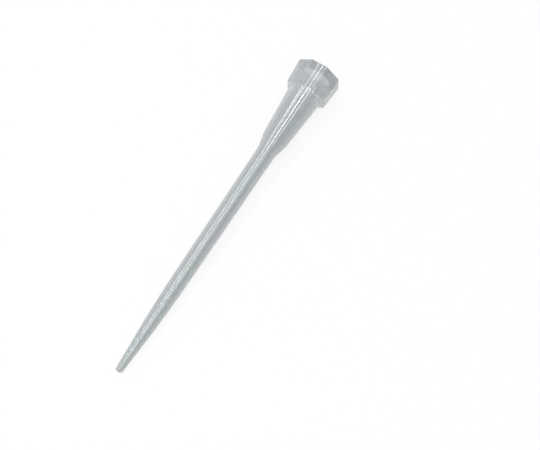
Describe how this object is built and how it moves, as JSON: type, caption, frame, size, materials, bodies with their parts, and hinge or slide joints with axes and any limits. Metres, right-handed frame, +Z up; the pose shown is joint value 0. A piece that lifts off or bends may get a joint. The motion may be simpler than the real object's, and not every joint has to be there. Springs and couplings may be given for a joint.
{
  "type": "pipette tip",
  "caption": "Slender translucent disposable tip for a micropipette, with a fine tapered point, a flared socket and an octagonal collar.",
  "frame": {"origin": "on the surface it lies on, under the middle of its outer box", "axes": "+X along the tip towards its mouth, level with the surface; +Z up; the tip's own axis climbs 2.80 degrees from the orifice to the mouth"},
  "size_m": [0.046, 0.0056, 0.0055],
  "materials": {
    "polypropylene": "natural translucent polypropylene, satin"
  },
  "bodies": {
    "root": {"pipette_tip": "polypropylene"}
  },
  "joints": []
}
